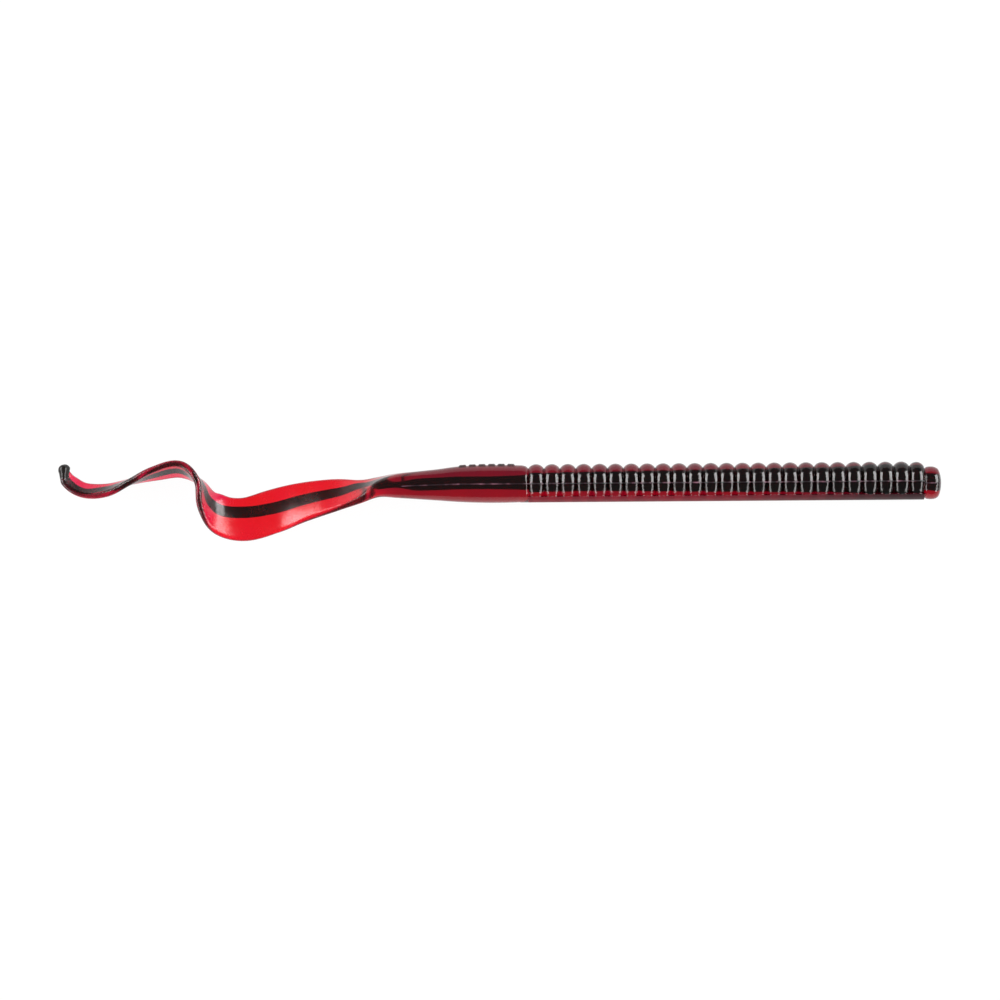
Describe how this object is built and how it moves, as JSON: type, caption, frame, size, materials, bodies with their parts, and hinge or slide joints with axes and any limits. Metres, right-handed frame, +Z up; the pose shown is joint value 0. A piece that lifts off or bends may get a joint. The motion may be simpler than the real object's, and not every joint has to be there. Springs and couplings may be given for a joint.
{
  "type": "soft plastic worm",
  "caption": "Soft plastic ribbon-tail fishing worm: ribbed flat-bellied body, smooth collar and long twisted ribbon tail, translucent red round a black core.",
  "frame": {"origin": "middle of the footprint, on the surface that the worm lies on", "axes": "+X from the tail to the nose along the body, +Y towards the ribbed back, -Y out of the flat belly, +Z up from the surface"},
  "size_m": [0.1669, 0.0151, 0.0074],
  "materials": {
    "red_plastisol": "glossy translucent soft plastisol",
    "black_plastisol": "glossy opaque soft plastisol"
  },
  "bodies": {
    "head": {"head_skin": "red_plastisol", "head_core": "black_plastisol"},
    "rib_pair_1": {"rib_pair_1_skin": "red_plastisol", "rib_pair_1_core": "black_plastisol"},
    "rib_pair_2": {"rib_pair_2_skin": "red_plastisol", "rib_pair_2_core": "black_plastisol"},
    "rib_pair_3": {"rib_pair_3_skin": "red_plastisol", "rib_pair_3_core": "black_plastisol"},
    "rib_pair_4": {"rib_pair_4_skin": "red_plastisol", "rib_pair_4_core": "black_plastisol"},
    "rib_pair_5": {"rib_pair_5_skin": "red_plastisol", "rib_pair_5_core": "black_plastisol"},
    "rib_pair_6": {"rib_pair_6_skin": "red_plastisol", "rib_pair_6_core": "black_plastisol"},
    "rib_pair_7": {"rib_pair_7_skin": "red_plastisol", "rib_pair_7_core": "black_plastisol"},
    "rib_pair_8": {"rib_pair_8_skin": "red_plastisol", "rib_pair_8_core": "black_plastisol"},
    "rib_pair_9": {"rib_pair_9_skin": "red_plastisol", "rib_pair_9_core": "black_plastisol"},
    "rib_pair_10": {"rib_pair_10_skin": "red_plastisol", "rib_pair_10_core": "black_plastisol"},
    "rib_pair_11": {"rib_pair_11_skin": "red_plastisol", "rib_pair_11_core": "black_plastisol"},
    "collar_front": {"collar_front_skin": "red_plastisol", "collar_front_core": "black_plastisol"},
    "collar_middle": {"collar_middle_skin": "red_plastisol", "collar_middle_core": "black_plastisol"},
    "collar_rear": {"collar_rear_skin": "red_plastisol", "collar_rear_core": "black_plastisol"},
    "waist": {"waist_skin": "red_plastisol", "waist_core": "black_plastisol"},
    "ribbon_1": {"ribbon_1_skin": "red_plastisol", "ribbon_1_core": "black_plastisol"},
    "ribbon_2": {"ribbon_2_skin": "red_plastisol", "ribbon_2_core": "black_plastisol"},
    "ribbon_3": {"ribbon_3_skin": "red_plastisol", "ribbon_3_core": "black_plastisol"},
    "ribbon_4": {"ribbon_4_skin": "red_plastisol", "ribbon_4_core": "black_plastisol"},
    "ribbon_5": {"ribbon_5_skin": "red_plastisol", "ribbon_5_core": "black_plastisol"},
    "ribbon_6": {"ribbon_6_skin": "red_plastisol", "ribbon_6_core": "black_plastisol"},
    "ribbon_7": {"ribbon_7_skin": "red_plastisol", "ribbon_7_core": "black_plastisol"},
    "ribbon_8": {"ribbon_8_skin": "red_plastisol", "ribbon_8_core": "black_plastisol"},
    "ribbon_9": {"ribbon_9_skin": "red_plastisol", "ribbon_9_core": "black_plastisol"},
    "ribbon_10": {"ribbon_10_skin": "red_plastisol", "ribbon_10_core": "black_plastisol"}
  },
  "joints": [
    {"name": "bend_at_rib_pair_1", "type": "hinge", "parent": "head", "child": "rib_pair_1", "pos_m": [0.07135, 0.00287, 0.00369], "axis": [0, 0, 1], "range_deg": [-15, 15], "stiffness_Nm_per_rad": 0.0029},
    {"name": "bend_at_rib_pair_2", "type": "hinge", "parent": "rib_pair_1", "child": "rib_pair_2", "pos_m": [0.06535, 0.00287, 0.00369], "axis": [0, 1, 0], "range_deg": [-15, 15], "stiffness_Nm_per_rad": 0.0029},
    {"name": "bend_at_rib_pair_3", "type": "hinge", "parent": "rib_pair_2", "child": "rib_pair_3", "pos_m": [0.05935, 0.00287, 0.00369], "axis": [0, 0, 1], "range_deg": [-15, 15], "stiffness_Nm_per_rad": 0.0029},
    {"name": "bend_at_rib_pair_4", "type": "hinge", "parent": "rib_pair_3", "child": "rib_pair_4", "pos_m": [0.05335, 0.00287, 0.00369], "axis": [0, 1, 0], "range_deg": [-15, 15], "stiffness_Nm_per_rad": 0.0029},
    {"name": "bend_at_rib_pair_5", "type": "hinge", "parent": "rib_pair_4", "child": "rib_pair_5", "pos_m": [0.04735, 0.00287, 0.00369], "axis": [0, 0, 1], "range_deg": [-15, 15], "stiffness_Nm_per_rad": 0.0029},
    {"name": "bend_at_rib_pair_6", "type": "hinge", "parent": "rib_pair_5", "child": "rib_pair_6", "pos_m": [0.04135, 0.00287, 0.00369], "axis": [0, 1, 0], "range_deg": [-15, 15], "stiffness_Nm_per_rad": 0.0029},
    {"name": "bend_at_rib_pair_7", "type": "hinge", "parent": "rib_pair_6", "child": "rib_pair_7", "pos_m": [0.03535, 0.00287, 0.00369], "axis": [0, 0, 1], "range_deg": [-15, 15], "stiffness_Nm_per_rad": 0.0029},
    {"name": "bend_at_rib_pair_8", "type": "hinge", "parent": "rib_pair_7", "child": "rib_pair_8", "pos_m": [0.02935, 0.00287, 0.00369], "axis": [0, 1, 0], "range_deg": [-15, 15], "stiffness_Nm_per_rad": 0.0029},
    {"name": "bend_at_rib_pair_9", "type": "hinge", "parent": "rib_pair_8", "child": "rib_pair_9", "pos_m": [0.02335, 0.00287, 0.00369], "axis": [0, 0, 1], "range_deg": [-15, 15], "stiffness_Nm_per_rad": 0.0029},
    {"name": "bend_at_rib_pair_10", "type": "hinge", "parent": "rib_pair_9", "child": "rib_pair_10", "pos_m": [0.01735, 0.00287, 0.00369], "axis": [0, 1, 0], "range_deg": [-15, 15], "stiffness_Nm_per_rad": 0.0029},
    {"name": "bend_at_rib_pair_11", "type": "hinge", "parent": "rib_pair_10", "child": "rib_pair_11", "pos_m": [0.01135, 0.00287, 0.00369], "axis": [0, 0, 1], "range_deg": [-15, 15], "stiffness_Nm_per_rad": 0.0029},
    {"name": "bend_at_collar_front", "type": "hinge", "parent": "rib_pair_11", "child": "collar_front", "pos_m": [0.00535, 0.00287, 0.00369], "axis": [0, 1, 0], "range_deg": [-15, 15], "stiffness_Nm_per_rad": 0.0029},
    {"name": "bend_at_collar_middle", "type": "hinge", "parent": "collar_front", "child": "collar_middle", "pos_m": [-0.0016, 0.00287, 0.00369], "axis": [-0.0058, 0, 1], "range_deg": [-15, 15], "stiffness_Nm_per_rad": 0.0029},
    {"name": "bend_at_collar_rear", "type": "hinge", "parent": "collar_middle", "child": "collar_rear", "pos_m": [-0.0086, 0.00285, 0.00357], "axis": [-0.0231, 0.9997, -0.0003], "range_deg": [-15, 15], "stiffness_Nm_per_rad": 0.0029},
    {"name": "bend_at_waist", "type": "hinge", "parent": "collar_rear", "child": "waist", "pos_m": [-0.0156, 0.00272, 0.00325], "axis": [-0.0279, -0.0159, 0.9995], "range_deg": [-15, 15], "stiffness_Nm_per_rad": 0.0015},
    {"name": "bend_at_ribbon_1", "type": "hinge", "parent": "waist", "child": "ribbon_1", "pos_m": [-0.02236, 0.0025, 0.00342], "axis": [0.0894, -0.2998, 0.9498], "range_deg": [-20, 20], "stiffness_Nm_per_rad": 0.00015},
    {"name": "bend_at_ribbon_2", "type": "hinge", "parent": "ribbon_1", "child": "ribbon_2", "pos_m": [-0.02901, 0.00128, 0.00334], "axis": [0.0157, -0.6638, 0.7477], "range_deg": [-20, 20], "stiffness_Nm_per_rad": 0.00015},
    {"name": "bend_at_ribbon_3", "type": "hinge", "parent": "ribbon_2", "child": "ribbon_3", "pos_m": [-0.03566, 0.00007, 0.00259], "axis": [0.1272, -0.8683, 0.4794], "range_deg": [-20, 20], "stiffness_Nm_per_rad": 0.00015},
    {"name": "bend_at_ribbon_4", "type": "hinge", "parent": "ribbon_3", "child": "ribbon_4", "pos_m": [-0.04217, -0.00178, 0.00134], "axis": [0.2699, -0.9528, 0.1391], "range_deg": [-20, 20], "stiffness_Nm_per_rad": 0.00015},
    {"name": "bend_at_ribbon_5", "type": "hinge", "parent": "ribbon_4", "child": "ribbon_5", "pos_m": [-0.0487, -0.0035, 0.00071], "axis": [0.0436, -0.999, 0.0093], "range_deg": [-20, 20], "stiffness_Nm_per_rad": 0.00015},
    {"name": "bend_at_ribbon_6", "type": "hinge", "parent": "ribbon_5", "child": "ribbon_6", "pos_m": [-0.0547, -0.00085, 0.00311], "axis": [-0.3817, -0.624, 0.6818], "range_deg": [-20, 20], "stiffness_Nm_per_rad": 0.00015},
    {"name": "bend_at_ribbon_7", "type": "hinge", "parent": "ribbon_6", "child": "ribbon_7", "pos_m": [-0.05816, 0.00491, 0.00326], "axis": [0.0593, 0.1633, 0.9848], "range_deg": [-20, 20], "stiffness_Nm_per_rad": 0.00015},
    {"name": "bend_at_ribbon_8", "type": "hinge", "parent": "ribbon_7", "child": "ribbon_8", "pos_m": [-0.06463, 0.00566, 0.0028], "axis": [-0.1314, 0.2659, 0.955], "range_deg": [-20, 20], "stiffness_Nm_per_rad": 0.00015},
    {"name": "bend_at_ribbon_9", "type": "hinge", "parent": "ribbon_8", "child": "ribbon_9", "pos_m": [-0.071, 0.00335, 0.00237], "axis": [-0.0138, -0.1153, 0.9932], "range_deg": [-20, 20], "stiffness_Nm_per_rad": 0.00015},
    {"name": "bend_at_ribbon_10", "type": "hinge", "parent": "ribbon_9", "child": "ribbon_10", "pos_m": [-0.07762, 0.00205, 0.00186], "axis": [-0.1341, -0.6105, 0.7806], "range_deg": [-20, 20], "stiffness_Nm_per_rad": 0.00015}
  ]
}
